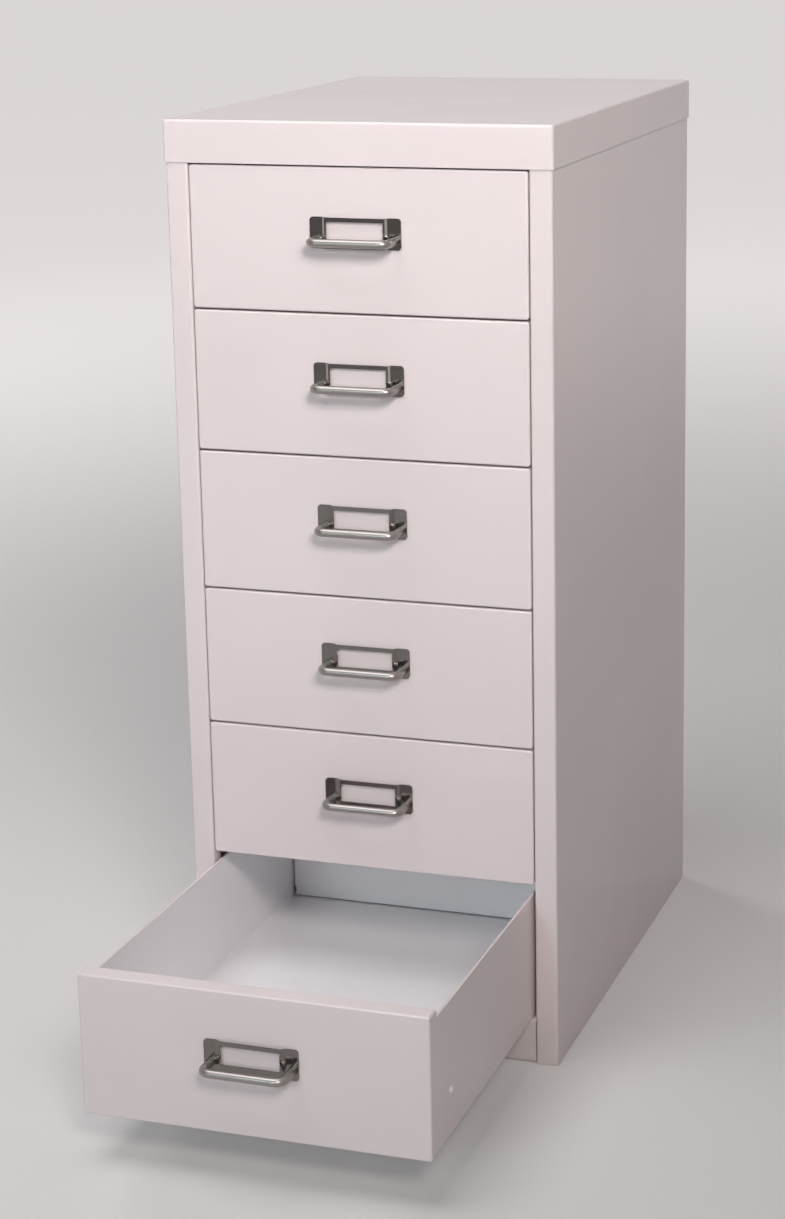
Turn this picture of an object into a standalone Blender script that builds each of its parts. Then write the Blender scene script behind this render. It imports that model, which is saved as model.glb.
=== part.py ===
"""Desk-side steel cabinet: a folded sheet carcass with six drawers on pressed runners.

Metres, +Z up. X runs across the cabinet, -Y is its front, and the origin is the middle of
its footprint on the floor. Drawer 1 is the top one, and the bottom one stands pulled out.
"""

import math

import bmesh
import bpy
from mathutils import Matrix, Vector

# Carcass
CARCASS_WIDTH = 0.279
CARCASS_DEPTH = 0.386
OVERALL_HEIGHT = 0.672
CARCASS_SHEET = 0.0008
CAP_SKIRT = 0.0295
CAP_CORNER = 0.0024
STILE_WIDTH = 0.0163
STILE_RETURN = 0.012
REAR_FLANGE = 0.012
PLINTH_HEIGHT = 0.0345
PLINTH_FOOT = 0.011
PLINTH_RETURN = 0.013
PLINTH_LIP = 0.008
BASE_UPSTAND = 0.015
BACK_RETURN = 0.012
RAIL_RETURN = 0.018

# Drawers
DRAWER_COUNT = 6
DRAWER_SHEET = 0.0008
DRAWER_GAP = 0.0013
DRAWER_SIDE_GAP = 0.0008
FRONT_FLANGE = 0.0135
FRONT_CORNER = 0.003
SIDE_TOP_DROP = 0.0065
SIDE_HEM_DEPTH = 0.008
SIDE_HEM_THICKNESS = 0.0018
FLOOR_RISE = 0.012
REAR_CLEARANCE = 0.0036
TRAY_OVERHANG = 0.0095
BACK_FLANGE = 0.0085
BACK_FLOOR_GAP = 0.0005
BACK_RELIEF = 0.007
SIDE_HOLE_RADIUS = 0.0015
SIDE_HOLE_SETBACK = 0.042
SIDE_HOLE_RISE = 0.0315

# Runners and their stops
RUNNER_SHEET = 0.001
RUNNER_FLANGE = 0.012
RUNNER_LIP = 0.008
RUNNER_START_GAP = 0.002
RUNNER_SIDE_PLAY = 0.0008
STOP_SETBACK = 0.080
STOP_PLAY = 0.0005
TONGUE_WIDTH = 0.010
TONGUE_LIFT = 0.0025
TONGUE_INSET = 0.006
OPEN_SHORT_OF_STOP = 0.064

# Label holder and wire pull
PLATE_WIDTH = 0.066
PLATE_HEIGHT = 0.0216
PLATE_SHEET = 0.001
PLATE_CORNER = 0.0025
PLATE_EAR = 0.0095
PLATE_JOG = 0.0018
PLATE_STEP = 0.0016
PLATE_TOP_DIP = 0.0003
PLATE_RISE = 0.0055
WINDOW_WIDTH = 0.0414
WINDOW_HEIGHT = 0.0132
WINDOW_FOOT = 0.0052
WIRE_RADIUS = 0.003
ARM_CLEARANCE = 0.0017
ARM_STUB = 0.0025
PULL_REACH = 0.0182
PULL_DROP = 0.005
WIRE_BEND = 0.006

# Fits and folds
FIT = 0.0003
FOLD_INSIDE = 0.001
FOLD_STEPS = 3
HOLE_STEPS = 10
WIRE_STEPS = 3
FACING_ANGLE = math.radians(8)

# Places worked out from the sizes above
FRONT_Y = -CARCASS_DEPTH / 2
REAR_Y = CARCASS_DEPTH / 2
CARCASS_TOP = OVERALL_HEIGHT - CARCASS_SHEET - FOLD_INSIDE - FIT
WALL_INNER_X = CARCASS_WIDTH / 2 - CARCASS_SHEET
OPENING_X = CARCASS_WIDTH / 2 - STILE_WIDTH
OPENING_TOP = OVERALL_HEIGHT - CAP_SKIRT
BACK_OUTER_Y = REAR_Y - CARCASS_SHEET - FIT
BACK_INNER_Y = BACK_OUTER_Y - CARCASS_SHEET

DRAWER_PITCH = (OPENING_TOP - PLINTH_HEIGHT - DRAWER_GAP) / DRAWER_COUNT
FRONT_WIDTH = 2 * (OPENING_X - DRAWER_SIDE_GAP)
FRONT_HEIGHT = DRAWER_PITCH - DRAWER_GAP
SIDE_OUTER_X = FRONT_WIDTH / 2 - DRAWER_SHEET - FIT
SIDE_INNER_X = SIDE_OUTER_X - DRAWER_SHEET
SIDE_TOP = FRONT_HEIGHT - SIDE_TOP_DROP
TRAY_START = DRAWER_SHEET + FOLD_INSIDE + FIT
TRAY_END = BACK_INNER_Y - FRONT_Y - REAR_CLEARANCE
INSIDE_LENGTH = TRAY_END - TRAY_OVERHANG
TONGUE_Y = TRAY_END - TONGUE_INSET
LIP_OUTER_X = SIDE_INNER_X - RUNNER_SIDE_PLAY
LIP_INNER_X = LIP_OUTER_X - RUNNER_SHEET
TONGUE_OUTER_X = LIP_INNER_X - RUNNER_SIDE_PLAY
FULL_TRAVEL = TONGUE_Y - STOP_SETBACK - RUNNER_SHEET - STOP_PLAY
OPEN_TRAVEL = FULL_TRAVEL - OPEN_SHORT_OF_STOP
PLATE_Z = FRONT_HEIGHT / 2 + PLATE_RISE
EAR_INNER_X = PLATE_WIDTH / 2 - PLATE_EAR
ARM_X = EAR_INNER_X + ARM_CLEARANCE + WIRE_RADIUS

# Colours as the paint and plating look, linear, with the roughness of each
PAINT = (0.76, 0.68, 0.69, 1.0)
PAINT_ROUGHNESS = 0.22
INSIDE_PAINT = (0.66, 0.63, 0.64, 1.0)
INSIDE_ROUGHNESS = 0.3
ZINC = (0.58, 0.58, 0.57, 1.0)
ZINC_ROUGHNESS = 0.42
NICKEL = (0.62, 0.61, 0.57, 1.0)
NICKEL_ROUGHNESS = 0.2


def material(name, colour, roughness, metallic):
    """A Principled material, made once for each name."""
    found = bpy.data.materials.get(name)
    if found:
        return found
    made = bpy.data.materials.new(name)
    made.use_nodes = True
    shader = made.node_tree.nodes["Principled BSDF"]
    shader.inputs["Base Color"].default_value = colour
    shader.inputs["Roughness"].default_value = roughness
    shader.inputs["Metallic"].default_value = metallic
    made.diffuse_color = colour
    return made


def mesh_from(shape, name):
    """The bmesh as a mesh with its faces turned outwards."""
    bmesh.ops.recalc_face_normals(shape, faces=shape.faces)
    mesh = bpy.data.meshes.new(name)
    shape.to_mesh(mesh)
    shape.free()
    return mesh


def add_object(name, data, finish, parent):
    """A named sub-part carried by an empty."""
    thing = bpy.data.objects.new(name, data)
    if not data.materials:
        data.materials.append(finish)
    bpy.context.scene.collection.objects.link(thing)
    thing.parent = parent
    return thing


def add_empty(name, location):
    empty = bpy.data.objects.new(name, None)
    empty.location = location
    bpy.context.scene.collection.objects.link(empty)
    return empty


def baked(mesh, set_up):
    """The mesh after the modifiers that set_up puts on it."""
    holder = bpy.data.objects.new("holder", mesh)
    bpy.context.scene.collection.objects.link(holder)
    tools = set_up(holder)
    bpy.context.view_layer.update()
    seen = holder.evaluated_get(bpy.context.evaluated_depsgraph_get())
    made = bpy.data.meshes.new_from_object(seen)
    made.name = mesh.name
    for thing in [holder, *tools]:
        bpy.data.objects.remove(thing)
    return made


def thickened(mesh, sheet, offset):
    """A surface given the thickness of its sheet, to the side that offset names."""

    def set_up(holder):
        solid = holder.modifiers.new("sheet", "SOLIDIFY")
        solid.thickness = sheet
        solid.offset = offset
        solid.use_even_offset = True
        return []

    return baked(mesh, set_up)


def drilled(mesh, cutter_mesh):
    """The mesh with the cutter taken out of it."""

    def set_up(holder):
        cutter = bpy.data.objects.new("drill", cutter_mesh)
        cutter.hide_render = True
        cutter.display_type = "WIRE"
        bpy.context.scene.collection.objects.link(cutter)
        cut = holder.modifiers.new("hole", "BOOLEAN")
        cut.operation = "DIFFERENCE"
        cut.solver = "EXACT"
        cut.object = cutter
        return [cutter]

    return baked(mesh, set_up)


def drawn_out(shape, faces, along):
    """Extrude faces of the shape along a vector, and give back the faces at the far end."""
    edges = dict.fromkeys(edge for face in faces for edge in face.edges)
    moved = bmesh.ops.extrude_face_region(shape, geom=[*faces, *edges])["geom"]
    ends = [part for part in moved if isinstance(part, bmesh.types.BMVert)]
    bmesh.ops.translate(shape, vec=along, verts=ends)
    return [part for part in moved if isinstance(part, bmesh.types.BMFace)]


def cut_across(shape, y):
    """New edges all round the shape at one place along its length."""
    everything = [*shape.verts, *shape.edges, *shape.faces]
    bmesh.ops.bisect_plane(shape, geom=everything, plane_co=(0, y, 0), plane_no=(0, 1, 0))


def faces_between(shape, start, end, facing):
    """The faces that lie between two places along the length and face one way."""
    found = []
    for face in shape.faces:
        faces_it = face.normal.dot(Vector(facing)) > math.cos(FACING_ANGLE)
        if faces_it and start < face.calc_center_median().y < end:
            found.append(face)
    return found


def folded_sides(path, sheet):
    """Both faces of a folded sheet. The path runs along one face, with the sheet on its left."""
    points = [Vector(p) for p in path]
    near, far = [], []

    def left_of(direction):
        return Vector((-direction.y, direction.x))

    def add(point, direction):
        near.append(point)
        far.append(point + left_of(direction) * sheet)

    add(points[0], (points[1] - points[0]).normalized())
    for before, corner, after in zip(points, points[1:], points[2:]):
        along = (corner - before).normalized()
        beyond = (after - corner).normalized()
        turn = math.copysign(along.angle(beyond), along.x * beyond.y - along.y * beyond.x)
        side = math.copysign(1, turn)
        near_radius = FOLD_INSIDE + sheet if turn > 0 else FOLD_INSIDE
        far_radius = near_radius - side * sheet
        start = corner - along * near_radius * math.tan(abs(turn) / 2)
        centre = start + left_of(along) * side * near_radius
        spoke = (start - centre).normalized()
        for step in range(FOLD_STEPS + 1):
            swung = Matrix.Rotation(turn * step / FOLD_STEPS, 2) @ spoke
            near.append(centre + swung * near_radius)
            far.append(centre + swung * far_radius)
    add(points[-1], (points[-1] - points[-2]).normalized())
    return near, far


def folded_sheet(path, sheet, axis, start, end):
    """A folded profile run along an axis. The path's two numbers are the other two axes in order."""
    near, far = folded_sides(path, sheet)
    order = {"X": (2, 0, 1), "Y": (0, 2, 1), "Z": (0, 1, 2)}[axis]
    shape = bmesh.new()

    def at(point):
        flat = (point.x, point.y, start)
        return shape.verts.new([flat[i] for i in order])

    rows = [(at(a), at(b)) for a, b in zip(near, far)]
    faces = [shape.faces.new((a, b, d, c)) for (a, b), (c, d) in zip(rows, rows[1:])]
    away = {"X": Vector((1, 0, 0)), "Y": Vector((0, 1, 0)), "Z": Vector((0, 0, 1))}[axis]
    drawn_out(shape, faces, away * (end - start))
    return mesh_from(shape, "folded_sheet")


def mirrored(mesh):
    """The same piece for the other side of the cabinet."""
    shape = bmesh.new()
    shape.from_mesh(mesh)
    bmesh.ops.scale(shape, vec=(-1, 1, 1), verts=shape.verts)
    return mesh_from(shape, mesh.name)


def pan(width, height, depth, corner, sheet, place, open_corners):
    """A plate with round corners and flanges folded back along local -Z, which may stop at each corner."""
    shape = bmesh.new()
    bmesh.ops.create_grid(shape, x_segments=1, y_segments=1, size=0.5)
    bmesh.ops.scale(shape, vec=(width, height, 1), verts=shape.verts)
    bmesh.ops.bevel(
        shape, geom=shape.verts[:], offset=corner, segments=FOLD_STEPS, profile=0.5,
        affect="VERTICES", material=-1,
    )
    outline = shape.edges[:]
    open_face = drawn_out(shape, shape.faces[:], Vector((0, 0, -depth)))
    bmesh.ops.delete(shape, geom=open_face, context="FACES_ONLY")
    bmesh.ops.bevel(
        shape, geom=outline, offset=FOLD_INSIDE + sheet, segments=FOLD_STEPS, profile=0.5,
        affect="EDGES", material=-1,
    )
    bmesh.ops.recalc_face_normals(shape, faces=shape.faces)
    if open_corners:
        corners = []
        for face in shape.faces:
            across, up, out = (abs(part) for part in face.normal)
            if out < 1 - math.cos(FACING_ANGLE) and max(across, up) < math.cos(FACING_ANGLE):
                corners.append(face)
        bmesh.ops.delete(shape, geom=corners, context="FACES")
    top = max(shape.faces, key=lambda face: face.calc_area())
    if top.normal.z < 0:
        bmesh.ops.reverse_faces(shape, faces=shape.faces)
    shape.transform(place)
    mesh = bpy.data.meshes.new("pan")
    shape.to_mesh(mesh)
    shape.free()
    return thickened(mesh, sheet, -1)


def side_panel_mesh():
    """Right side: stile with its return at the front, wall, and rear flange."""
    outer = CARCASS_WIDTH / 2
    path = [
        (OPENING_X, FRONT_Y + STILE_RETURN),
        (OPENING_X, FRONT_Y),
        (outer, FRONT_Y),
        (outer, REAR_Y),
        (outer - REAR_FLANGE, REAR_Y),
    ]
    return folded_sheet(path, CARCASS_SHEET, "Z", 0, CARCASS_TOP)


def base_pan_mesh():
    """Flat floor of the carcass with an upstand against each side."""
    outer = WALL_INNER_X - FIT
    path = [(-outer, BASE_UPSTAND), (-outer, 0), (outer, 0), (outer, BASE_UPSTAND)]
    start = FRONT_Y + max(STILE_RETURN, PLINTH_FOOT) + FIT
    return folded_sheet(path, CARCASS_SHEET, "Y", start, BACK_OUTER_Y)


def plinth_mesh():
    """Front rail under the drawers: foot, face, and a return with a stiffening lip."""
    back = FRONT_Y + PLINTH_RETURN
    path = [
        (back, PLINTH_HEIGHT - PLINTH_LIP),
        (back, PLINTH_HEIGHT),
        (FRONT_Y, PLINTH_HEIGHT),
        (FRONT_Y, 0),
        (FRONT_Y + PLINTH_FOOT, 0),
    ]
    half = OPENING_X - FIT
    return folded_sheet(path, CARCASS_SHEET, "X", -half, half)


def top_rail_mesh():
    """Channel that joins the stiles behind the front skirt of the cap."""
    low = OPENING_TOP + FIT
    path = [
        (FRONT_Y + RAIL_RETURN, CARCASS_TOP),
        (FRONT_Y, CARCASS_TOP),
        (FRONT_Y, low),
        (FRONT_Y + RAIL_RETURN, low),
    ]
    half = OPENING_X - FIT
    return folded_sheet(path, CARCASS_SHEET, "X", -half, half)


def back_panel_mesh():
    """Back sheet inside the rear flanges, returned over the floor and under the cap."""
    low = CARCASS_SHEET + FIT
    path = [
        (BACK_OUTER_Y - BACK_RETURN, low),
        (BACK_OUTER_Y, low),
        (BACK_OUTER_Y, CARCASS_TOP),
        (BACK_OUTER_Y - BACK_RETURN, CARCASS_TOP),
    ]
    half = WALL_INNER_X - FIT - CARCASS_SHEET - FOLD_INSIDE - FIT
    return folded_sheet(path, CARCASS_SHEET, "X", -half, half)


def cap_mesh():
    """Cover with a skirt all round that slips over the carcass."""
    spread = 2 * (FIT + CARCASS_SHEET)
    place = Matrix.Translation((0, 0, OVERALL_HEIGHT))
    return pan(
        CARCASS_WIDTH + spread, CARCASS_DEPTH + spread, CAP_SKIRT, CAP_CORNER, CARCASS_SHEET, place,
        open_corners=False,
    )


def runner_mesh():
    """Right runner, with z = 0 at the bottom of its drawer: a channel with two stops bent off its lip."""
    ledge = -FIT - RUNNER_SHEET
    wall = WALL_INNER_X - FIT
    path = [
        (LIP_INNER_X, ledge + RUNNER_LIP),
        (LIP_INNER_X, ledge),
        (wall, ledge),
        (wall, ledge + RUNNER_FLANGE),
    ]
    start = FRONT_Y + max(STILE_RETURN, PLINTH_RETURN) + RUNNER_START_GAP
    shape = bmesh.new()
    shape.from_mesh(folded_sheet(path, RUNNER_SHEET, "Y", start, BACK_INNER_Y - FIT))
    front_stop = FRONT_Y + STOP_SETBACK
    rear_stop = FRONT_Y + TONGUE_Y + DRAWER_SHEET + STOP_PLAY
    for stop in (front_stop, rear_stop):
        cut_across(shape, stop)
        cut_across(shape, stop + RUNNER_SHEET)
        strip = faces_between(shape, stop, stop + RUNNER_SHEET, (-1, 0, 0))
        lip = min(strip, key=lambda face: face.calc_center_median().x)
        drawn_out(shape, [lip], Vector((TONGUE_OUTER_X - TONGUE_WIDTH - LIP_INNER_X, 0, 0)))
    return mesh_from(shape, "runner")


def drawer_front_mesh():
    """Front pan: face on y = 0, flanges folded back, open at the corners."""
    turn = Matrix.Rotation(math.radians(90), 4, "X")
    place = Matrix.Translation((0, 0, FRONT_HEIGHT / 2)) @ turn
    return pan(
        FRONT_WIDTH, FRONT_HEIGHT, FRONT_FLANGE, FRONT_CORNER, DRAWER_SHEET, place,
        open_corners=True,
    )


def drawer_tray_mesh():
    """Floor and both sides. The sides run on below the raised floor, and their tops are hemmed."""
    shape = bmesh.new()
    floor_low = FLOOR_RISE - DRAWER_SHEET
    hem_x = SIDE_OUTER_X - SIDE_HEM_THICKNESS
    hem_low = SIDE_TOP - SIDE_HEM_DEPTH
    relief_end = FRONT_FLANGE + FIT
    relief_top = FRONT_CORNER + FIT

    def upright(x):
        return [shape.verts.new((x, TRAY_START, z)) for z in (FLOOR_RISE, floor_low)]

    def side(sign):
        seam = upright(sign * SIDE_INNER_X)
        outline = [
            (SIDE_INNER_X, relief_top),
            (SIDE_OUTER_X, relief_top),
            (SIDE_OUTER_X, SIDE_TOP),
            (hem_x, SIDE_TOP),
            (hem_x, hem_low),
            (SIDE_INNER_X, hem_low),
        ]
        shape.faces.new(seam + [shape.verts.new((sign * x, TRAY_START, z)) for x, z in outline])
        return seam

    tongue = (TONGUE_OUTER_X, TONGUE_OUTER_X - TONGUE_WIDTH)
    left = [side(-1)] + [upright(-x) for x in tongue]
    right = [upright(x) for x in tongue[::-1]] + [side(1)]
    seams = left + right
    for (high, low), (next_high, next_low) in zip(seams, seams[1:]):
        shape.faces.new((high, low, next_low, next_high))
    drawn_out(shape, shape.faces[:], Vector((0, TRAY_END - TRAY_START, 0)))
    bmesh.ops.recalc_face_normals(shape, faces=shape.faces)

    cut_across(shape, relief_end)
    under = faces_between(shape, relief_end, TRAY_END, (0, 0, -1))
    skirts = [face for face in under if abs(face.calc_center_median().z - relief_top) < FIT]
    drawn_out(shape, skirts, Vector((0, 0, -relief_top)))
    cut_across(shape, TONGUE_Y)
    cut_across(shape, TONGUE_Y + DRAWER_SHEET)
    under = faces_between(shape, TONGUE_Y, TONGUE_Y + DRAWER_SHEET, (0, 0, -1))
    tongues = [face for face in under if min(tongue) < abs(face.calc_center_median().x) < max(tongue)]
    drawn_out(shape, tongues, Vector((0, 0, TONGUE_LIFT - floor_low)))
    tray = mesh_from(shape, "drawer_tray")

    hole = bmesh.new()
    across = Matrix.Translation((0, SIDE_HOLE_SETBACK, SIDE_HOLE_RISE))
    bmesh.ops.create_cone(
        hole, cap_ends=True, segments=HOLE_STEPS, radius1=SIDE_HOLE_RADIUS, radius2=SIDE_HOLE_RADIUS,
        depth=2 * FRONT_WIDTH, matrix=across @ Matrix.Rotation(math.radians(90), 4, "Y"),
    )
    return drilled(tray, mesh_from(hole, "hole"))


def drawer_back_mesh():
    """Back of the drawer, flanged rearwards between the hems. Only its flat middle reaches the floor."""
    half = SIDE_OUTER_X - SIDE_HEM_THICKNESS - FIT
    low = FLOOR_RISE + BACK_FLOOR_GAP
    rear = INSIDE_LENGTH + BACK_FLANGE
    path = [(-half, rear), (-half, INSIDE_LENGTH), (half, INSIDE_LENGTH), (half, rear)]
    shape = bmesh.new()
    shape.from_mesh(folded_sheet(path, DRAWER_SHEET, "Z", low + BACK_RELIEF, SIDE_TOP))
    underside = faces_between(shape, INSIDE_LENGTH, rear, (0, 0, -1))
    middle = max(underside, key=lambda face: face.calc_area())
    drawn_out(shape, [middle], Vector((0, 0, -BACK_RELIEF)))
    return mesh_from(shape, "drawer_back")


def label_holder_mesh():
    """Stamped plate: flat ears, and a middle stepped forward so that a card slides in behind it."""
    half = PLATE_WIDTH / 2
    columns = [half, EAR_INNER_X, EAR_INNER_X - PLATE_JOG, WINDOW_WIDTH / 2]
    columns = [-x for x in columns] + columns[::-1]
    low = PLATE_Z - PLATE_HEIGHT / 2
    high = PLATE_Z + PLATE_HEIGHT / 2
    window_low = low + WINDOW_FOOT
    rows = [low, window_low, window_low + WINDOW_HEIGHT, high]

    shape = bmesh.new()

    def corner(x, z):
        raised = abs(x) < EAR_INNER_X
        y = -FIT - (PLATE_STEP if raised else 0)
        dip = PLATE_TOP_DIP if raised and z == high else 0
        return shape.verts.new((x, y, z - dip))

    lattice = [[corner(x, z) for z in rows] for x in columns]
    for i in range(len(columns) - 1):
        for j in range(len(rows) - 1):
            in_window = i == len(columns) // 2 - 1 and j == 1
            if not in_window:
                quad = (lattice[i][j], lattice[i + 1][j], lattice[i + 1][j + 1], lattice[i][j + 1])
                shape.faces.new(quad)
    ends = [lattice[i][j] for i in (0, -1) for j in (0, -1)]
    bmesh.ops.bevel(
        shape, geom=ends, offset=PLATE_CORNER, segments=FOLD_STEPS, profile=0.5,
        affect="VERTICES", material=-1,
    )
    mesh = bpy.data.meshes.new("label_holder")
    shape.to_mesh(mesh)
    shape.free()
    return thickened(mesh, PLATE_SHEET, 1)


def rounded_route(points, radius, steps):
    """The route with an arc of that radius at each corner."""
    points = [Vector(p) for p in points]
    route = [points[0]]
    for before, corner, after in zip(points, points[1:], points[2:]):
        along = (corner - before).normalized()
        beyond = (after - corner).normalized()
        turn = along.angle(beyond)
        start = corner - along * radius * math.tan(turn / 2)
        inward = (beyond - along * along.dot(beyond)).normalized()
        centre = start + inward * radius
        for step in range(steps + 1):
            swing = turn * step / steps
            route.append(centre + (along * math.sin(swing) - inward * math.cos(swing)) * radius)
    route.append(points[-1])
    return route


def pull_curve():
    """Round wire bent to a pull. Its ends stand square on the ears of the label holder."""
    ear_front = -FIT - PLATE_SHEET
    bar_z = PLATE_Z - PULL_DROP
    half = [
        (ARM_X, ear_front - FIT, PLATE_Z),
        (ARM_X, ear_front - FIT - ARM_STUB, PLATE_Z),
        (ARM_X, -PULL_REACH, bar_z),
    ]
    corners = [(-x, y, z) for x, y, z in half] + half[::-1]
    route = rounded_route(corners, WIRE_BEND, FOLD_STEPS + 1)
    curve = bpy.data.curves.new("pull_handle", "CURVE")
    curve.dimensions = "3D"
    curve.bevel_depth = WIRE_RADIUS
    curve.bevel_resolution = WIRE_STEPS
    curve.use_fill_caps = True
    spline = curve.splines.new("POLY")
    spline.points.add(len(route) - 1)
    for place, point in zip(spline.points, route):
        place.co = (*point, 1)
    return curve


def build_carcass():
    paint = material("shell_paint", PAINT, PAINT_ROUGHNESS, 0)
    carcass = add_empty("carcass", (0, 0, 0))
    right = side_panel_mesh()
    add_object("right_side_panel", right, paint, carcass)
    add_object("left_side_panel", mirrored(right), paint, carcass)
    add_object("back_panel", back_panel_mesh(), paint, carcass)
    add_object("base_pan", base_pan_mesh(), paint, carcass)
    add_object("plinth_rail", plinth_mesh(), paint, carcass)
    add_object("top_rail", top_rail_mesh(), paint, carcass)
    add_object("top_cover", cap_mesh(), paint, carcass)
    return carcass


def build_drawers(carcass):
    front_paint = material("front_paint", PAINT, PAINT_ROUGHNESS, 0)
    tray_paint = material("tray_paint", INSIDE_PAINT, INSIDE_ROUGHNESS, 0)
    zinc = material("zinc_plate", ZINC, ZINC_ROUGHNESS, 1)
    nickel = material("nickel_plate", NICKEL, NICKEL_ROUGHNESS, 1)
    front = drawer_front_mesh()
    tray = drawer_tray_mesh()
    back = drawer_back_mesh()
    holder = label_holder_mesh()
    pull = pull_curve()
    right_runner = runner_mesh()
    left_runner = mirrored(right_runner)
    for number in range(1, DRAWER_COUNT + 1):
        foot = PLINTH_HEIGHT + DRAWER_GAP + (DRAWER_COUNT - number) * DRAWER_PITCH
        for name, mesh in (("left", left_runner), ("right", right_runner)):
            runner = add_object(f"runner_{name}_{number}", mesh, zinc, carcass)
            runner.location.z = foot
        pulled = OPEN_TRAVEL if number == DRAWER_COUNT else 0
        drawer = add_empty(f"drawer_{number}", (0, FRONT_Y - pulled, foot))
        add_object(f"drawer_front_{number}", front, front_paint, drawer)
        add_object(f"drawer_tray_{number}", tray, tray_paint, drawer)
        add_object(f"drawer_back_{number}", back, tray_paint, drawer)
        add_object(f"label_holder_{number}", holder, nickel, drawer)
        add_object(f"pull_handle_{number}", pull, nickel, drawer)


for thing in list(bpy.data.objects):
    bpy.data.objects.remove(thing)
build_drawers(build_carcass())
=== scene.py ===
"""Looks of the desk-side steel drawer cabinet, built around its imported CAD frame.

Metres, +Z up, -Y is the front. Each section below is one piece, or one group of like pieces,
in the order in which the cabinet is put together.
"""

import math

import bmesh
import bpy
from bmesh.types import BMEdge, BMFace, BMVert
from mathutils import Matrix, Vector


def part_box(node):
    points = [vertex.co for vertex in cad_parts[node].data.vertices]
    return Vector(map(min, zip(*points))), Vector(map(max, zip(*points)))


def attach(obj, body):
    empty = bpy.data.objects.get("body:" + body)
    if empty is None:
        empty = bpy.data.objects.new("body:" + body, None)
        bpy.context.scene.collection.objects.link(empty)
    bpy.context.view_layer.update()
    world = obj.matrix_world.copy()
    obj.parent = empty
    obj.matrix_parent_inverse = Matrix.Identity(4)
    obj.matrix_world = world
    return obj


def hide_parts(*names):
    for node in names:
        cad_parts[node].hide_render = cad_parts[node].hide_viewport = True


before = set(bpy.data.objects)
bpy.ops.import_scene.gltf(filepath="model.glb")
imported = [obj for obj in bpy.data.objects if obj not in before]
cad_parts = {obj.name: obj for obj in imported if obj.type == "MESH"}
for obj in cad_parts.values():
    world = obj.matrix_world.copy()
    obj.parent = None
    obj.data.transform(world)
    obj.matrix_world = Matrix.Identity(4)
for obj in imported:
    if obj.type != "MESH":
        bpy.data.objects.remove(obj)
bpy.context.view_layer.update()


# Camera. It stands where the photograph was taken, to the right of the cabinet and above it,
# worked out from the straight edges in the picture for an image of 785 x 1219.
CAMERA_TURN = (76.099, 0.885, 18.293)

view = bpy.data.cameras.new("photo_camera")
view.lens = 77.758
view.sensor_width = 36
view.shift_x = -0.0492
view.shift_y = -0.0697
camera = bpy.data.objects.new("photo_camera", view)
camera.location = (0.627, -1.8681, 0.8338)
camera.rotation_euler = [math.radians(turn) for turn in CAMERA_TURN]
bpy.context.scene.collection.objects.link(camera)
bpy.context.scene.camera = camera
bpy.context.scene.view_settings.view_transform = "Standard"


# Studio light. A wide soft box hangs overhead, a lower one stands in front on the left, and two with
# grids stand on the right and light the upper drawers more. One behind keeps the back from going dark,
# and two faint low ones at the sides draw the bends of the label holders. None shows in the picture.
OVER_THE_TOP = (0, -0.2, 1.5)
UPPER_PULLS = (0, -0.2, 0.45)
GRID_SPREAD = 100
NARROW_SPREAD = 60


def soft_box(name, place, aim, size, watts, tint=(1, 1, 1), spread=180):
    """A square lamp that looks at its aim and throws its light over a spread in degrees."""
    lamp = bpy.data.lights.new(name, "AREA")
    lamp.shape = "SQUARE"
    lamp.size = size
    lamp.energy = watts
    lamp.color = tint
    lamp.spread = math.radians(spread)
    holder = bpy.data.objects.new(name, lamp)
    holder.location = place
    holder.rotation_euler = (Vector(aim) - Vector(place)).to_track_quat("-Z", "Y").to_euler()
    holder.visible_camera = False
    bpy.context.scene.collection.objects.link(holder)


soft_box("overhead_soft_box", place=(-0.5, -0.9, 2.6), aim=(-0.5, -0.9, 0), size=1.5, watts=28.5)
soft_box(
    "left_soft_box", place=(-0.4, -2.6, 1.0), aim=(0, -0.2, 0.5), size=0.7, watts=11.8,
    tint=(0.86, 1, 1.05),
)
soft_box(
    "right_soft_box", place=(0.9, -1.5, 1.4), aim=OVER_THE_TOP, size=0.7, watts=9.3,
    tint=(1, 0.95, 0.93), spread=GRID_SPREAD,
)
soft_box(
    "far_soft_box", place=(1.5, -2.8, 2.3), aim=OVER_THE_TOP, size=0.7, watts=15.3,
    tint=(1, 0.92, 0.895), spread=GRID_SPREAD,
)
soft_box("rear_soft_box", place=(-2.2, 1.6, 1.8), aim=(0, 0.1, 0.4), size=1.0, watts=21)
soft_box(
    "low_left_box", place=(-1.8, -0.4, 0.3), aim=UPPER_PULLS, size=0.6, watts=0.11,
    spread=NARROW_SPREAD,
)
soft_box(
    "low_right_box", place=(1.3, -1.6, 0.25), aim=UPPER_PULLS, size=0.6, watts=0.13,
    tint=(1, 0.95, 0.9), spread=NARROW_SPREAD,
)


# Studio room. Its walls are dim, so that they do no more than fill the shadows. Seen straight or in
# the gloss they are pale, and paler behind the cabinet than in front of it.
def graded(nodes, given, wanted, soft=False):
    """A node that takes a value from the range given to the range wanted, straight or softly."""
    grade = nodes.new("ShaderNodeMapRange")
    grade.interpolation_type = "SMOOTHSTEP" if soft else "LINEAR"
    grade.inputs["From Min"].default_value = given[0]
    grade.inputs["From Max"].default_value = given[1]
    grade.inputs["To Min"].default_value = wanted[0]
    grade.inputs["To Max"].default_value = wanted[1]
    return grade


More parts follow.
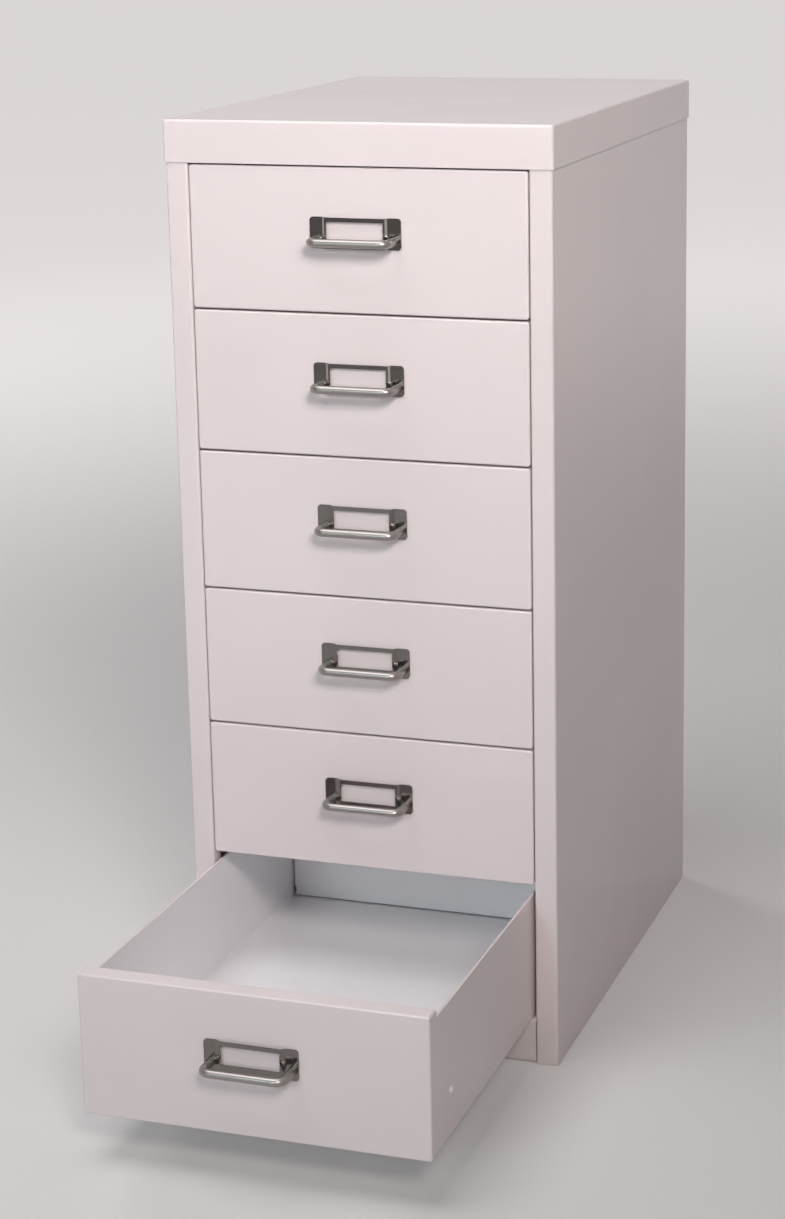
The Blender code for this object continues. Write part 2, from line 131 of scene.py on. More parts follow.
def seen_directly(nodes, links):
    """1 where the eye meets a surface straight, in a reflection or through glass, and 0 elsewhere."""
    ray = nodes.new("ShaderNodeLightPath")
    mirrored = nodes.new("ShaderNodeMath")
    mirrored.operation = "MAXIMUM"
    links.new(ray.outputs["Is Camera Ray"], mirrored.inputs[0])
    links.new(ray.outputs["Is Glossy Ray"], mirrored.inputs[1])
    seen = nodes.new("ShaderNodeMath")
    seen.operation = "MAXIMUM"
    links.new(mirrored.outputs[0], seen.inputs[0])
    links.new(ray.outputs["Is Transmission Ray"], seen.inputs[1])
    return seen.outputs[0]


room = bpy.data.worlds.new("studio_room")
room.use_nodes = True
nodes = room.node_tree.nodes
links = room.node_tree.links
dim = nodes["Background"]
dim.inputs["Color"].default_value = (0.97, 0.985, 1.0, 1)
dim.inputs["Strength"].default_value = 0.06
pale = nodes.new("ShaderNodeBackground")
pale.inputs["Color"].default_value = (1.0, 0.95, 0.935, 1)
outlook = nodes.new("ShaderNodeTexCoord")
axes = nodes.new("ShaderNodeSeparateXYZ")
to_the_rear = graded(nodes, given=(-0.6, 0.6), wanted=(0.3, 0.62), soft=True)
walls = nodes.new("ShaderNodeMixShader")
links.new(outlook.outputs["Generated"], axes.inputs[0])
links.new(axes.outputs["Y"], to_the_rear.inputs["Value"])
links.new(to_the_rear.outputs["Result"], pale.inputs["Strength"])
links.new(seen_directly(nodes, links), walls.inputs["Fac"])
links.new(dim.outputs[0], walls.inputs[1])
links.new(pale.outputs[0], walls.inputs[2])
links.new(walls.outputs[0], nodes["World Output"].inputs["Surface"])
bpy.context.scene.world = room


# Floor. A wide sheet of pale studio paper, lit where the cabinet stands, so that it takes its soft
# shadow. It glows a little by itself, more where no lamp reaches, and so stays pale there too.
FLOOR_HALF = 30
FLOOR_DROP = 0.0004

shape = bmesh.new()
bmesh.ops.create_grid(shape, x_segments=1, y_segments=1, size=FLOOR_HALF)
bmesh.ops.translate(shape, vec=(0, 0, -FLOOR_DROP), verts=shape.verts)
floor_mesh = bpy.data.meshes.new("studio_floor")
shape.to_mesh(floor_mesh)
shape.free()
floor = bpy.data.objects.new("studio_floor", floor_mesh)
bpy.context.scene.collection.objects.link(floor)

paper = bpy.data.materials.new("pale_paper")
paper.use_nodes = True
nodes = paper.node_tree.nodes
links = paper.node_tree.links
nodes.clear()
matt = nodes.new("ShaderNodeBsdfDiffuse")
matt.inputs["Color"].default_value = (0.6, 0.588, 0.583, 1)
glow = nodes.new("ShaderNodeEmission")
glow.inputs["Color"].default_value = (1.0, 0.955, 0.945, 1)
place = nodes.new("ShaderNodeTexCoord")
axes = nodes.new("ShaderNodeSeparateXYZ")
distance = nodes.new("ShaderNodeVectorMath")
distance.operation = "LENGTH"
to_the_rear = graded(nodes, given=(-2.0, 2.5), wanted=(0.24, 0.66), soft=True)
farther_off = graded(nodes, given=(0.5, 3.8), wanted=(0.12, 1), soft=True)
level = nodes.new("ShaderNodeMath")
level.operation = "MULTIPLY"
both = nodes.new("ShaderNodeAddShader")
surface = nodes.new("ShaderNodeOutputMaterial")
links.new(place.outputs["Object"], axes.inputs[0])
links.new(place.outputs["Object"], distance.inputs[0])
links.new(axes.outputs["Y"], to_the_rear.inputs["Value"])
links.new(distance.outputs["Value"], farther_off.inputs["Value"])
links.new(to_the_rear.outputs["Result"], farther_off.inputs["To Max"])
links.new(farther_off.outputs["Result"], level.inputs[0])
links.new(seen_directly(nodes, links), level.inputs[1])
links.new(level.outputs[0], glow.inputs["Strength"])
links.new(matt.outputs[0], both.inputs[0])
links.new(glow.outputs[0], both.inputs[1])
links.new(both.outputs[0], surface.inputs["Surface"])
floor_mesh.materials.append(paper)


# Powder coat. The cabinet is sprayed and stoved in a glossy pinkish off-white, and the drawers inside
# in a whiter one, which is made whiter and brighter still as painted light, standing in for the light
# that fills the drawers. It has the faint orange peel of powder that has flowed out, and a hardly
# visible change of depth.
NOISE_REACH = (0.3, 0.7)
ROUGHNESS_CHANGE = 0.02
PEEL_STRENGTH = 0.12
PEEL_HEIGHT = 0.0002
PAINT_IOR = 1.5


def node_group(name, inputs, outputs):
    """An empty shader group with named inputs and outputs, all of them values."""
    group = bpy.data.node_groups.new(name, "ShaderNodeTree")
    for label, value in inputs:
        socket = group.interface.new_socket(label, in_out="INPUT", socket_type="NodeSocketFloat")
        socket.default_value = value
    for label in outputs:
        group.interface.new_socket(label, in_out="OUTPUT", socket_type="NodeSocketFloat")
    return group, group.nodes.new("NodeGroupInput"), group.nodes.new("NodeGroupOutput")


def blank_finish(name):
    """A new material, with its nodes, its links and its shader."""
    finish = bpy.data.materials.new(name)
    finish.use_nodes = True
    nodes = finish.node_tree.nodes
    return finish, nodes, finish.node_tree.links, nodes["Principled BSDF"]


def tinted(nodes, first, last, reach=(0, 1)):
    """A node whose colour runs from first to last while its value runs through reach."""
    ramp = nodes.new("ShaderNodeValToRGB")
    for stop, position, colour in zip(ramp.color_ramp.elements, reach, (first, last)):
        stop.position = position
        stop.color = colour
    return ramp


coat_film, given, result = node_group(
    "coat_film",
    [("Peel Scale", 420.0), ("Peel Depth", 0.5), ("Cloud Scale", 6.0)],
    ["Depth", "Height", "Haze"],
)
nodes = coat_film.nodes
links = coat_film.links
place = nodes.new("ShaderNodeTexCoord")
peel = nodes.new("ShaderNodeTexNoise")
peel.inputs["Detail"].default_value = 2.0
peel.inputs["Roughness"].default_value = 0.45
cloud = nodes.new("ShaderNodeTexNoise")
cloud.inputs["Detail"].default_value = 3.0
lift = nodes.new("ShaderNodeMath")
lift.operation = "MULTIPLY"
haze = graded(nodes, given=NOISE_REACH, wanted=(0, 1))
links.new(place.outputs["Object"], peel.inputs["Vector"])
links.new(place.outputs["Object"], cloud.inputs["Vector"])
links.new(given.outputs["Peel Scale"], peel.inputs["Scale"])
links.new(given.outputs["Cloud Scale"], cloud.inputs["Scale"])
links.new(peel.outputs["Fac"], lift.inputs[0])
links.new(given.outputs["Peel Depth"], lift.inputs[1])
links.new(cloud.outputs["Fac"], haze.inputs["Value"])
links.new(cloud.outputs["Fac"], result.inputs["Depth"])
links.new(lift.outputs[0], result.inputs["Height"])
links.new(haze.outputs["Result"], result.inputs["Haze"])


def powder_coat(name, thin, full, roughness, peel_depth):
    """Powder coat whose colour runs from thin to full with the depth of the film."""
    finish, nodes, links, shader = blank_finish(name)
    film = nodes.new("ShaderNodeGroup")
    film.node_tree = coat_film
    film.inputs["Peel Depth"].default_value = peel_depth
    colour = tinted(nodes, thin, full, reach=NOISE_REACH)
    least = roughness - ROUGHNESS_CHANGE
    most = roughness + ROUGHNESS_CHANGE
    rough = graded(nodes, given=(0, 1), wanted=(least, most))
    bump = nodes.new("ShaderNodeBump")
    bump.inputs["Strength"].default_value = PEEL_STRENGTH
    bump.inputs["Distance"].default_value = PEEL_HEIGHT
    shader.inputs["IOR"].default_value = PAINT_IOR
    links.new(film.outputs["Depth"], colour.inputs["Fac"])
    links.new(film.outputs["Haze"], rough.inputs["Value"])
    links.new(film.outputs["Height"], bump.inputs["Height"])
    links.new(colour.outputs["Color"], shader.inputs["Base Color"])
    links.new(rough.outputs["Result"], shader.inputs["Roughness"])
    links.new(bump.outputs["Normal"], shader.inputs["Normal"])
    return finish


shell_coat = powder_coat(
    "shell_coat", thin=(0.735, 0.655, 0.66, 1), full=(0.765, 0.685, 0.69, 1),
    roughness=0.09, peel_depth=0.5,
)
front_coat = powder_coat(
    "front_coat", thin=(0.74, 0.66, 0.665, 1), full=(0.77, 0.69, 0.695, 1),
    roughness=0.09, peel_depth=0.5,
)
# The inside coat: a whiter paint, made brighter still as painted light for the light inside the
# drawers.
inside_coat_and_painted_fill = powder_coat(
    "inside_coat_and_painted_fill", thin=(0.885, 0.872, 0.887, 1), full=(0.905, 0.892, 0.907, 1),
    roughness=0.12, peel_depth=0.8,
)


# Side panels. One steel sheet each, 0.8 mm thick, folded on a press brake: a return and a flat
# stile at the front, the wall, and a flange that holds the back.
SHELL_SHEET = 0.0008
SHELL_BEND = 0.0018
FOLD_STEPS = 6
STILE_RETURN = 0.012
REAR_FLANGE = 0.012
FLAT_AREA = 0.0004
FLAT_RIM = 0.0004
FLAT_WEIGHT = 100
SHARP_ANGLE = math.radians(50)


def drawn(shape, edges, way):
    """Draws edges along a way, which makes faces of them, and gives the edges at the far end."""
    made = bmesh.ops.extrude_edge_only(shape, edges=edges)["geom"]
    ends = [part for part in made if isinstance(part, BMVert)]
    bmesh.ops.translate(shape, vec=way, verts=ends)
    return [part for part in made if isinstance(part, BMEdge) and set(part.verts) <= set(ends)]


def rounded(shape, parts, radius, steps, affect="EDGES"):
    """Rounds edges or, where affect is VERTICES, the corners of an outline."""
    bmesh.ops.bevel(
        shape, geom=parts, offset=radius, segments=steps, profile=0.5, affect=affect, material=-1,
    )


def strip(corners, run):
    """A sheet through some corners, drawn along run, with its folds still sharp."""
    shape = bmesh.new()
    line = [shape.verts.new(corner) for corner in corners]
    edges = [shape.edges.new(pair) for pair in zip(line, line[1:])]
    drawn(shape, edges, run)
    return shape


def folds_of(shape):
    """The edges at which two faces of a sheet meet."""
    return [edge for edge in shape.edges if len(edge.link_faces) == 2]


def folded(corners, run, bend):
    """A sheet through some corners, drawn along run and bent at its folds."""
    shape = strip(corners, run)
    rounded(shape, folds_of(shape), bend, FOLD_STEPS)
    return shape


def face_near(shape, place):
    """The face whose middle is nearest to a place."""
    return min(shape.faces, key=lambda face: (face.calc_center_median() - Vector(place)).length)


def turn_face(shape, place, towards):
    """Turns a sheet over, if need be, so that its face near a place looks towards a direction."""
    near = face_near(shape, place)
    bmesh.ops.recalc_face_normals(shape, faces=shape.faces)
    near.normal_update()
    if near.normal.dot(Vector(towards)) < 0:
        bmesh.ops.reverse_faces(shape, faces=shape.faces)


def finished(name, shape, sheet, finish, body, node):
    """Gives a sheet its thickness behind its faces, and puts it in place of its CAD node.

    A narrow rim round each flat keeps the reflections of the flat itself straight. A shape that is
    closed already has a sheet of 0.
    """
    shape.normal_update()
    flats = [face for face in shape.faces if face.calc_area() > FLAT_AREA]
    bmesh.ops.inset_individual(shape, faces=flats, thickness=FLAT_RIM, use_even_offset=True)
    if sheet:
        bmesh.ops.solidify(shape, geom=shape.faces[:], thickness=sheet)
        bmesh.ops.recalc_face_normals(shape, faces=shape.faces)
    for face in shape.faces:
        face.smooth = True
    mesh = bpy.data.meshes.new(name)
    shape.to_mesh(mesh)
    shape.free()
    mesh.set_sharp_from_angle(angle=SHARP_ANGLE)
    mesh.materials.append(finish)
    piece = bpy.data.objects.new(name, mesh)
    bpy.context.scene.collection.objects.link(piece)
    flat = piece.modifiers.new("flat_faces", "WEIGHTED_NORMAL")
    flat.keep_sharp = True
    flat.weight = FLAT_WEIGHT
    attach(piece, body)
    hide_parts(node)
    return piece


def carcass_sheet(name, shape, node):
    """A painted sheet of the shell, which stands still."""
    finished(name, shape, SHELL_SHEET, shell_coat, "carcass", node)


low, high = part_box("right_side_panel")
for side, hand in ((1, "right"), (-1, "left")):
    corners = [
        (side * low.x, low.y + STILE_RETURN, 0),
        (side * low.x, low.y, 0),
        (side * high.x, low.y, 0),
        (side * high.x, high.y, 0),
        (side * (high.x - REAR_FLANGE), high.y, 0),
    ]
    shape = folded(corners, (0, 0, high.z), SHELL_BEND)
    turn_face(shape, (side * high.x, 0, high.z / 2), (side, 0, 0))
    carcass_sheet(f"{hand}_side_sheet", shape, f"{hand}_side_panel")


# Back, base, plinth and top rail. All are folded from the same 0.8 mm sheet and welded in. The back
# closes the shell inside the rear flanges, the base pan and the plinth tie the sides together at the
# floor, and the rail does so behind the cover.
BACK_RETURN = 0.012
BASE_UPSTAND = 0.015
PLINTH_FOOT = 0.011
PLINTH_RETURN = 0.013
PLINTH_LIP = 0.008
PLINTH_FIT = 0.00025
PLINTH_BEND = 0.003
RAIL_RETURN = 0.018

low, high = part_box("back_panel")
corners = [
    (low.x, high.y - BACK_RETURN, low.z),
    (low.x, high.y, low.z),
    (low.x, high.y, high.z),
    (low.x, high.y - BACK_RETURN, high.z),
]
shape = folded(corners, (high.x - low.x, 0, 0), SHELL_BEND)
turn_face(shape, (0, high.y, high.z / 2), (0, 1, 0))
carcass_sheet("back_sheet", shape, "back_panel")

low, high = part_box("base_pan")
corners = [
    (low.x, low.y, BASE_UPSTAND),
    (low.x, low.y, 0),
    (high.x, low.y, 0),
    (high.x, low.y, BASE_UPSTAND),
]
shape = folded(corners, (0, high.y - low.y, 0), SHELL_BEND)
turn_face(shape, (0, 0, 0), (0, 0, -1))
carcass_sheet("base_sheet", shape, "base_pan")

low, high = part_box("plinth_rail")
low.x -= PLINTH_FIT
high.x += PLINTH_FIT
corners = [
    (low.x, low.y + PLINTH_RETURN, high.z - PLINTH_LIP),
    (low.x, low.y + PLINTH_RETURN, high.z),
    (low.x, low.y, high.z),
    (low.x, low.y, 0),
    (low.x, low.y + PLINTH_FOOT, 0),
]
shape = folded(corners, (high.x - low.x, 0, 0), PLINTH_BEND)
turn_face(shape, (0, low.y, high.z / 2), (0, -1, 0))
carcass_sheet("plinth_sheet", shape, "plinth_rail")

low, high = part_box("top_rail")
corners = [
    (low.x, low.y + RAIL_RETURN, high.z),
    (low.x, low.y, high.z),
    (low.x, low.y, low.z),
    (low.x, low.y + RAIL_RETURN, low.z),
]
shape = folded(corners, (high.x - low.x, 0, 0), SHELL_BEND)
turn_face(shape, (0, low.y, (low.z + high.z) / 2), (0, -1, 0))
carcass_sheet("rail_sheet", shape, "top_rail")


# Top cover. A shallow cap of the same sheet, with a skirt all round and welded, ground corners. It
# slips over the shell and stands about a millimetre proud of it, which leaves a fine seam below it.
COVER_CORNER = 0.0024
CORNER_STEPS = 8


def pan(width, height, depth, corner, bend):
    """A plate with round corners, facing +Z, its flanges folded back all round."""
    shape = bmesh.new()
    bmesh.ops.create_grid(shape, x_segments=1, y_segments=1, size=0.5)
    bmesh.ops.scale(shape, vec=(width, height, 1), verts=shape.verts)
    rounded(shape, shape.verts[:], corner, CORNER_STEPS, affect="VERTICES")
    outline = shape.edges[:]
    drawn(shape, outline, (0, 0, -depth))
    rounded(shape, outline, bend, FOLD_STEPS)
    bmesh.ops.recalc_face_normals(shape, faces=shape.faces)
    plate = max(shape.faces, key=lambda face: face.calc_area())
    if plate.normal.z < 0:
        bmesh.ops.reverse_faces(shape, faces=shape.faces)
    return shape


low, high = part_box("top_cover")
shape = pan(high.x - low.x, high.y - low.y, high.z - low.z, COVER_CORNER, SHELL_BEND)
on_top = ((low.x + high.x) / 2, (low.y + high.y) / 2, high.z)
bmesh.ops.translate(shape, vec=on_top, verts=shape.verts)
carcass_sheet("cover_cap", shape, "top_cover")


# Runners. Pressed channels of bright zinc-plated steel, one to each side of each drawer, welded to
# the walls. Their solids are right as they are, so they only take the finish of the plating.
zinc, nodes, links, shader = blank_finish("zinc_plating")
shader.inputs["Metallic"].default_value = 1
place = nodes.new("ShaderNodeTexCoord")
spangle = nodes.new("ShaderNodeTexVoronoi")
spangle.inputs["Scale"].default_value = 320
colour = tinted(nodes, (0.5, 0.505, 0.51, 1), (0.66, 0.66, 0.645, 1))
rough = graded(nodes, given=(0, 1), wanted=(0.34, 0.48))
links.new(place.outputs["Object"], spangle.inputs["Vector"])
links.new(spangle.outputs["Color"], colour.inputs["Fac"])
links.new(spangle.outputs["Color"], rough.inputs["Value"])
links.new(colour.outputs["Color"], shader.inputs["Base Color"])
links.new(rough.outputs["Result"], shader.inputs["Roughness"])
for name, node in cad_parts.items():
    if name.startswith("runner_"):
        node.data.materials.clear()
        node.data.materials.append(zinc)


# Drawer fronts. Each is a pan folded from one blank of steel sheet: a flat face with small round
# corners, and four flanges that meet in ground corners. The side flanges are spot-welded to the tray.
DRAWERS = range(1, 7)
DRAWER_SHEET = 0.0008
FRONT_CORNER = 0.002
FRONT_BEND = 0.0013
QUARTER_TURN = math.radians(90)


def on_drawer(number, name, shape, sheet, finish, node):
    """A piece that slides with its drawer. The drawer's number ends its name and its node's."""
    body = f"drawer_{number}"
    return finished(f"{name}_{number}", shape, sheet, finish, body, f"{node}_{number}")


for number in DRAWERS:
    low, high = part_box(f"drawer_front_{number}")
    shape = pan(high.x - low.x, high.z - low.z, high.y - low.y, FRONT_CORNER, FRONT_BEND)
    middle = Matrix.Translation((0, low.y, (low.z + high.z) / 2))
    shape.transform(middle @ Matrix.Rotation(QUARTER_TURN, 4, "X"))
    on_drawer(number, "front_pan", shape, DRAWER_SHEET, front_coat, "drawer_front")


# Drawer trays. One steel sheet makes floor and sides: it rises from the floor, turns over along the
# top edge and comes down outside as the skirt that slides in the runner. Small tongues meet the stops,
# and a pale plastic button closes the hole in each skirt. The hem's two bends just don't meet.
HEM = 0.0018
HEM_BEND = 0.48 * HEM
FLOOR_RISE = 0.012
FLOOR_BEND = 0.0025
TRAY_FOLD_STEPS = 5
SKIRT_TILT = 0.5
HEM_TILT = 0.1
TONGUE = 0.010
TONGUE_LIFT = 0.0025
TONGUE_INSET = 0.006
TONGUE_SIDE = 0.0036
TONGUE_CORNER = 0.002
TONGUE_CORNER_STEPS = 4
BUTTON_RADIUS = 0.0023
BUTTON_SIDES = 16
BUTTON_EDGE = 0.0005
BUTTON_RING = 0.0005
BUTTON_DOME = (0.0005, 0.0003, 0.0001)
BUTTON_SETBACK = 0.042
BUTTON_RISE = 0.0315
CLOSED = 0
LINED, PAINTED, PLASTIC = range(3)

button_white = powder_coat(
    "button_white", thin=(0.93, 0.93, 0.92, 1), full=(0.96, 0.96, 0.95, 1),
    roughness=0.3, peel_depth=0.2,
)


def add_tongue(shape, place):
    """A tab below the floor, square to the way the drawer slides, with round lower corners."""
    tab = bmesh.ops.create_cube(shape, size=1)["verts"]
    bmesh.ops.scale(shape, vec=(TONGUE, DRAWER_SHEET, FLOOR_RISE - TONGUE_LIFT), verts=tab)
    bmesh.ops.translate(shape, vec=place, verts=tab)
    tips = []
    for edge in shape.edges:
        below = max(vert.co.z for vert in edge.verts) < place.z
        if below and edge.verts[0] in tab and edge.calc_length() < 2 * DRAWER_SHEET:
            tips.append(edge)
    rounded(shape, tips, TONGUE_CORNER, TONGUE_CORNER_STEPS)


def add_button(shape, seat, side):
    """A round button on the skirt, with a short edge and a low dome."""
    turned = Matrix.Translation(seat) @ Matrix.Rotation(side * QUARTER_TURN, 4, "Y")
    rim = bmesh.ops.create_circle(
        shape, cap_ends=True, segments=BUTTON_SIDES, radius=BUTTON_RADIUS, matrix=turned,
    )["verts"]
    disc = rim[0].link_faces[0]
    disc.material_index = PLASTIC
    raised = bmesh.ops.extrude_face_region(shape, geom=[disc])["geom"]
    crown = [part for part in raised if isinstance(part, BMFace)]
    brim = [part for part in raised if isinstance(part, BMVert)]
    bmesh.ops.translate(shape, vec=(side * BUTTON_EDGE, 0, 0), verts=brim)
    for step in BUTTON_DOME:
        shape.normal_update()
        bmesh.ops.inset_individual(shape, faces=crown, thickness=BUTTON_RING, depth=step)


for number in DRAWERS:
    low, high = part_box(f"drawer_tray_{number}")
    front_low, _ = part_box(f"drawer_front_{number}")
    foot = front_low.z
    ground = foot + FLOOR_RISE
    above_floor = ground + FLOOR_RISE
    inner = high.x - HEM
    half = [(high.x, low.z), (high.x, high.z), (inner, high.z), (inner, ground)]
    profile = [(-x, z) for x, z in half] + half[::-1]
    shape = strip([(x, low.y, z) for x, z in profile], (0, high.y - low.y, 0))
    folds = folds_of(shape)
    at_floor = [edge for edge in folds if edge.verts[0].co.z < above_floor]
    at_top = [edge for edge in folds if edge.verts[0].co.z > above_floor]
    rounded(shape, at_floor, FLOOR_BEND, TRAY_FOLD_STEPS)
    rounded(shape, at_top, HEM_BEND, TRAY_FOLD_STEPS)
    turn_face(shape, (0, (low.y + high.y) / 2, ground), (0, 0, 1))
    bmesh.ops.solidify(shape, geom=shape.faces[:], thickness=DRAWER_SHEET)
    for side in (-1, 1):
        across = side * (high.x - TONGUE_SIDE - TONGUE / 2)
        rise = foot + (FLOOR_RISE + TONGUE_LIFT) / 2 - DRAWER_SHEET / 2
        add_tongue(shape, Vector((across, high.y - TONGUE_INSET, rise)))
    shape.normal_update()
    # Faces inside take the whiter coat, brightened as painted light; the skirt and the top of the hem
    # take the front's pink coat.
    for face in shape.faces:
        middle = face.calc_center_median()
        on_skirt = abs(middle.x) > high.x - DRAWER_SHEET / 2 and abs(face.normal.x) > SKIRT_TILT
        on_hem = middle.z > high.z - HEM / 2 and face.normal.z > HEM_TILT
        face.material_index = PAINTED if on_skirt or on_hem else LINED
    for side in (-1, 1):
        seat = Vector((side * high.x, front_low.y + BUTTON_SETBACK, foot + BUTTON_RISE))
        add_button(shape, seat, side)
    plastic = [face for face in shape.faces if face.material_index == PLASTIC]
    bmesh.ops.recalc_face_normals(shape, faces=plastic)
    tray = on_drawer(number, "tray", shape, CLOSED, inside_coat_and_painted_fill, "drawer_tray")
    tray.data.materials.append(front_coat)
    tray.data.materials.append(button_white)


# Drawer backs. A separate steel sheet between the sides, flanged to the rear where it is welded, with
# a small relief at each foot. Fine dark seams show where it meets the floor and the sides.
BACK_RELIEF = 0.007
BACK_SEAM = 0.0005

for number in DRAWERS:
    low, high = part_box(f"drawer_back_{number}")
    low += Vector((BACK_SEAM, 0, BACK_SEAM))
    high.x -= BACK_SEAM
    corners = [
        (low.x, high.y, low.z),
        (low.x, low.y, low.z),
        (high.x, low.y, low.z),
        (high.x, high.y, low.z),
    ]
    shape = folded(corners, (0, 0, high.z - low.z), SHELL_BEND)
    cut = low.z + BACK_RELIEF
    everything = [*shape.verts, *shape.edges, *shape.faces]
    bmesh.ops.bisect_plane(shape, geom=everything, plane_co=(0, 0, cut), plane_no=(0, 0, 1))
    relief = []
    for face in shape.faces:
        middle = face.calc_center_median()
        if middle.z < cut and abs(middle.x) > high.x / 2:
            relief.append(face)
    bmesh.ops.delete(shape, geom=relief, context="FACES")
    turn_face(shape, (0, low.y, (low.z + high.z) / 2), (0, -1, 0))
    # The back takes the whiter inside coat, whose extra brightness is painted light.
    on_drawer(number, "tray_back", shape, DRAWER_SHEET, inside_coat_and_painted_fill, "drawer_back")


# Label holders. Stamped from 1 mm steel and bright nickel-plated: two flat ears that lie on the front,
# and a middle pressed forward round a window, so that a card slides in behind it.
PLATE_SHEET = 0.001
PLATE_CORNER = 0.0025
PLATE_CORNER_STEPS = 6
PLATE_EAR = 0.0095
PLATE_STEP = 0.0016
PLATE_DIP = 0.0003
JOG_RUN = 0.0018
JOG_EASE = 0.0008
JOG_FOOT_BEND = 0.0012
JOG_CREST_BEND = 0.0004
JOG_STEPS = 5
WINDOW_HALF = 0.0207
WINDOW_FOOT = 0.0052
WINDOW_HEIGHT = 0.0132
SAME_PLACE = 0.00001

brushed_plate, given, result = node_group(
    "brushed_plate",
    [("Along", 60.0), ("Across", 1800.0)],
    ["Streak"],
)
nodes = brushed_plate.nodes
links = brushed_plate.links
place = nodes.new("ShaderNodeTexCoord")
stretch = nodes.new("ShaderNodeCombineXYZ")
stretched = nodes.new("ShaderNodeVectorMath")
stretched.operation = "MULTIPLY"
streaks = nodes.new("ShaderNodeTexNoise")
streaks.inputs["Scale"].default_value = 1
streaks.inputs["Detail"].default_value = 3
links.new(given.outputs["Along"], stretch.inputs["X"])
links.new(given.outputs["Across"], stretch.inputs["Y"])
links.new(given.outputs["Across"], stretch.inputs["Z"])
links.new(place.outputs["Object"], stretched.inputs[0])
links.new(stretch.outputs[0], stretched.inputs[1])
links.new(stretched.outputs[0], streaks.inputs["Vector"])
links.new(streaks.outputs["Fac"], result.inputs["Streak"])


def nickel(name, dark, bright, smooth, dull):
    """Nickel plate with the faint streaks of the steel below it."""
    finish, nodes, links, shader = blank_finish(name)
    shader.inputs["Metallic"].default_value = 1
    grain = nodes.new("ShaderNodeGroup")
    grain.node_tree = brushed_plate
    colour = tinted(nodes, dark, bright, reach=NOISE_REACH)
    rough = graded(nodes, given=NOISE_REACH, wanted=(smooth, dull))
    links.new(grain.outputs["Streak"], colour.inputs["Fac"])
    links.new(grain.outputs["Streak"], rough.inputs["Value"])
    links.new(colour.outputs["Color"], shader.inputs["Base Color"])
    links.new(rough.outputs["Result"], shader.inputs["Roughness"])
    return finish


# The plate's colour is kept far darker than bright nickel: painted shade, standing in for the dark room
# that the plates would reflect.
plate_nickel_painted_shade = nickel(
    "plate_nickel_painted_shade", dark=(0.2, 0.183, 0.172, 1), bright=(0.24, 0.222, 0.21, 1),
    smooth=0.06, dull=0.1,
)

for number in DRAWERS:
    low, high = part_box(f"label_holder_{number}")
    ear = high.x - PLATE_EAR
    jog_foot = ear + JOG_EASE
    jog_crest = ear - JOG_RUN
    half = [high.x, jog_foot, jog_crest, WINDOW_HALF]
    columns = [-x for x in half] + half[::-1]
    window_foot = low.z + WINDOW_FOOT
    window_head = low.z + WINDOW_FOOT + WINDOW_HEIGHT
    rows = [low.z, window_foot, window_head, high.z]
    shape = bmesh.new()
    bmesh.ops.create_grid(shape, x_segments=len(columns) - 1, y_segments=len(rows) - 1, size=0.5)
    for index, vert in enumerate(shape.verts):
        row, column = divmod(index, len(columns))
        x = columns[column]
        z = rows[row]
        if abs(x) > jog_crest:
            vert.co = (x, low.y + PLATE_STEP, z)
        else:
            vert.co = (x, low.y, min(z, high.z - PLATE_DIP))
    window = face_near(shape, (0, low.y, (window_foot + window_head) / 2))
    bmesh.ops.delete(shape, geom=[window], context="FACES_ONLY")
    for fold, bend in ((jog_foot, JOG_FOOT_BEND), (jog_crest, JOG_CREST_BEND)):
        jogs = []
        for edge in shape.edges:
            if max(abs(abs(vert.co.x) - fold) for vert in edge.verts) < SAME_PLACE:
                jogs.append(edge)
        rounded(shape, jogs, bend, JOG_STEPS)
    tips = []
    for vert in shape.verts:
        at_end = abs(vert.co.x) > high.x - SAME_PLACE
        if at_end and not low.z + SAME_PLACE < vert.co.z < high.z - SAME_PLACE:
            tips.append(vert)
    rounded(shape, tips, PLATE_CORNER, PLATE_CORNER_STEPS, affect="VERTICES")
    turn_face(shape, (high.x, low.y, (low.z + high.z) / 2), (0, -1, 0))
    on_drawer(number, "card_frame", shape, PLATE_SHEET, plate_nickel_painted_shade, "label_holder")


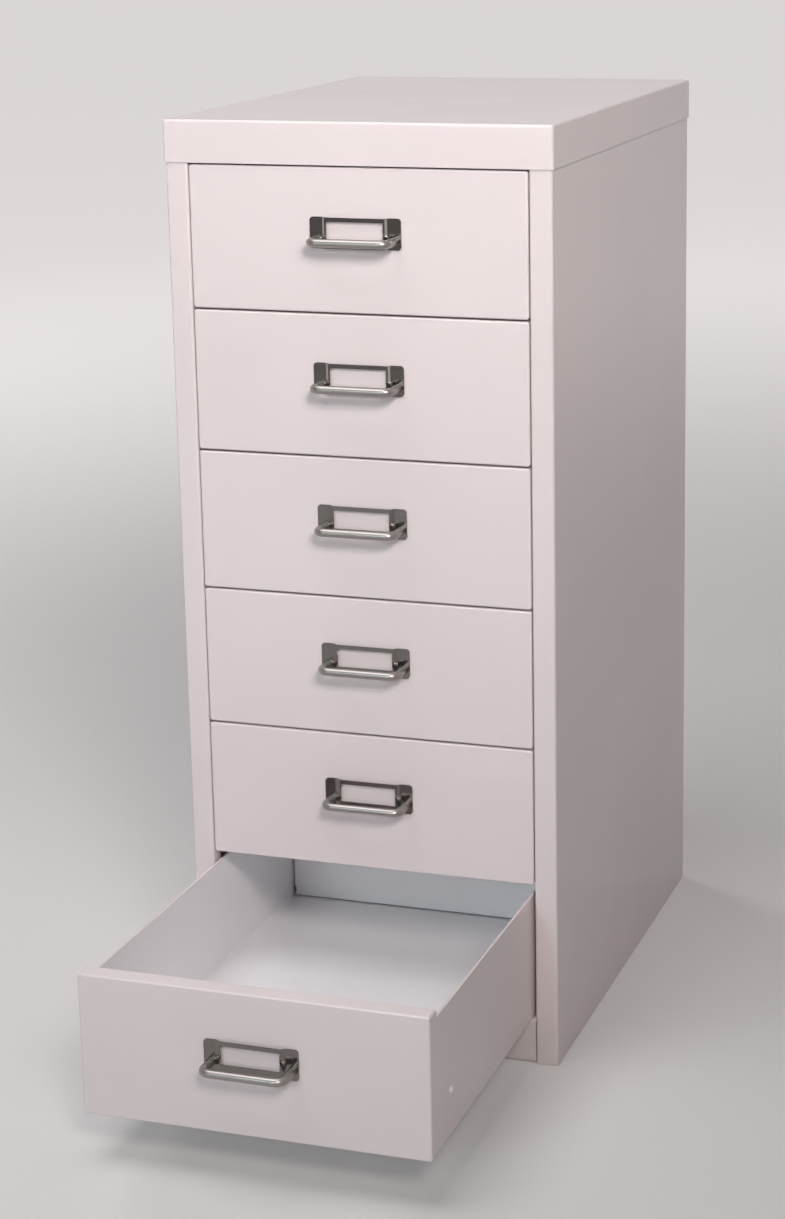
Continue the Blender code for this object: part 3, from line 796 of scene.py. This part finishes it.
# Pulls. Round steel wire of 6 mm, bent to a shallow bow and bright nickel-plated. Its two ends are
# welded square to the ears of the label holder.
WIRE_RADIUS = 0.003
WIRE_SIDES = 24
WIRE_BEND = 0.006
WIRE_BEND_STEPS = 10
PULL_DROP = 0.005

# The wire's colour is kept darker than bright nickel: painted shade for the darker room it would
# reflect, and warmed a little against the cool tint of the left lamp.
wire_nickel_painted_shade = nickel(
    "wire_nickel_painted_shade", dark=(0.335, 0.312, 0.3, 1), bright=(0.385, 0.36, 0.345, 1),
    smooth=0.3, dull=0.38,
)


def bend_square(shape, ring, centre):
    """Bends the open end of the wire a quarter round an upright pin, and gives its new end."""
    ends = list(dict.fromkeys(vert for edge in ring for vert in edge.verts))
    made = bmesh.ops.spin(
        shape, geom=ends + ring, cent=centre, axis=(0, 0, 1), angle=QUARTER_TURN, steps=WIRE_BEND_STEPS,
    )["geom_last"]
    return [part for part in made if isinstance(part, BMEdge)]


for number in DRAWERS:
    low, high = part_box(f"pull_handle_{number}")
    plate_low, plate_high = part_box(f"label_holder_{number}")
    rise = (plate_low.z + plate_high.z) / 2 - PULL_DROP
    arm = high.x - WIRE_RADIUS
    root = plate_low.y + PLATE_STEP
    pin = low.y + WIRE_RADIUS + WIRE_BEND
    outwards = Vector((0, pin - root, 0))
    shape = bmesh.new()
    foot = Matrix.Translation((-arm, root, rise)) @ Matrix.Rotation(QUARTER_TURN, 4, "X")
    bmesh.ops.create_circle(shape, segments=WIRE_SIDES, radius=WIRE_RADIUS, matrix=foot)
    ring = drawn(shape, shape.edges[:], outwards)
    ring = bend_square(shape, ring, (WIRE_BEND - arm, pin, rise))
    ring = drawn(shape, ring, (2 * (arm - WIRE_BEND), 0, 0))
    ring = bend_square(shape, ring, (arm - WIRE_BEND, pin, rise))
    drawn(shape, ring, -outwards)
    bmesh.ops.holes_fill(shape, edges=shape.edges, sides=WIRE_SIDES)
    bmesh.ops.recalc_face_normals(shape, faces=shape.faces)
    on_drawer(number, "wire_pull", shape, CLOSED, wire_nickel_painted_shade, "pull_handle")
